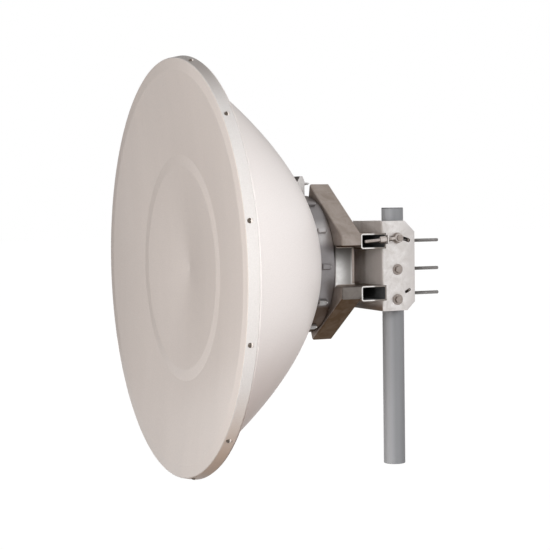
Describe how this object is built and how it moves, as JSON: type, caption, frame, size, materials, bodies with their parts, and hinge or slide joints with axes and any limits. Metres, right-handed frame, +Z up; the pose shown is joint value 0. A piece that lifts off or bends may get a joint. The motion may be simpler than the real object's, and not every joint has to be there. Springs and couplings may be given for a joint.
{
  "type": "microwave dish antenna",
  "caption": "Deep parabolic dish antenna with a flat concave radome, a ring hub and a sheet-steel offset mount clamped to a tubular mast, with tilt and azimuth setting.",
  "frame": {"origin": "centre of the mast tube at its foot", "axes": "+Z up along the mast, -Y the way the dish looks, +X towards the mast's side as seen from the dish axis"},
  "size_m": [1.2148, 0.7577, 1.215],
  "materials": {
    "mast_paint": "satin grey paint on steel tube",
    "plug_plastic": "moulded, matte",
    "bracket_steel": "bare rolled sheet, satin",
    "yoke_steel": "bare sheet, mottled and bright",
    "fastener_steel": "dull stainless",
    "radome_plastic": "thermoformed sheet, satin gloss",
    "dark_screws": "black",
    "rubber": "matte",
    "reflector_white": "white powder coat on spun sheet",
    "hub_aluminium": "cast, grey, satin",
    "plain_aluminium": "turned, satin",
    "bright_steel": "zinc plated, bright",
    "feed_brass": "drawn tube, satin",
    "dielectric": "turned, matte"
  },
  "bodies": {
    "mast": {"mast_tube": "mast_paint", "mast_plug": "plug_plastic"},
    "clamp": {"clamp_carrier": "bracket_steel", "clamp_studs": "fastener_steel", "side_bolts": "fastener_steel", "adjuster_bolt": "fastener_steel", "bolt_washers": "fastener_steel"},
    "jaw": {"clamp_jaw": "bracket_steel", "jaw_washers": "fastener_steel", "jaw_nuts": "fastener_steel"},
    "head": {"radome": "radome_plastic", "radome_screws": "dark_screws", "rim_gasket": "rubber", "rim_ring": "plain_aluminium", "reflector": "reflector_white", "hub_ring": "hub_aluminium", "hub_screws": "bright_steel", "hub_plate": "plain_aluminium", "feed_seal": "rubber", "hub_tray": "bracket_steel", "tray_bolts": "bright_steel", "tray_lid": "bracket_steel", "tray_ribs": "bracket_steel", "cross_beams": "bracket_steel", "pole_yoke": "yoke_steel", "yoke_gusset": "bracket_steel", "adjuster_lug": "yoke_steel", "hoist_bracket": "fastener_steel", "hoist_bolt": "bright_steel", "hoist_wing_nut": "bright_steel"},
    "feed": {"feed_tube": "feed_brass", "feed_collar": "plain_aluminium", "feed_flange": "feed_brass", "feed_cone": "dielectric", "sub_reflector": "plain_aluminium"},
    "eyebolt": {"eyebolt": "fastener_steel"},
    "adjuster_nut": {"adjuster_nut": "fastener_steel"}
  },
  "joints": [
    {"name": "azimuth", "type": "hinge", "parent": "mast", "child": "clamp", "pos_m": [0, 0, 0.5765], "axis": [0, 0, 1], "continuous": true},
    {"name": "elevation", "type": "hinge", "parent": "clamp", "child": "head", "pos_m": [0, -0.0256, 0.5765], "axis": [1, 0, 0], "range_deg": [-6, 6]},
    {"name": "polarisation", "type": "hinge", "parent": "head", "child": "feed", "pos_m": [-0.1725, -0.22273, 0.589], "axis": [0, 1, 0], "range_deg": [0, 90]},
    {"name": "eyebolt_swing", "type": "hinge", "parent": "clamp", "child": "eyebolt", "pos_m": [0.0861, -0.0256, 0.6675], "axis": [1, 0, 0], "range_deg": [-7, 7]},
    {"name": "adjuster_travel", "type": "slide", "parent": "eyebolt", "child": "adjuster_nut", "axis": [0, -0.9969, -0.0785], "range_m": [-0.0105, 0.0105]},
    {"name": "jaw_slide", "type": "slide", "parent": "clamp", "child": "jaw", "axis": [0, 1, 0], "range_m": [0, 0.045]}
  ],
  "couplings": [
    {"joint": "eyebolt_swing", "follows": "elevation", "ratio": 1},
    {"joint": "adjuster_travel", "follows": "elevation", "m_per_rad": 0.0908}
  ]
}
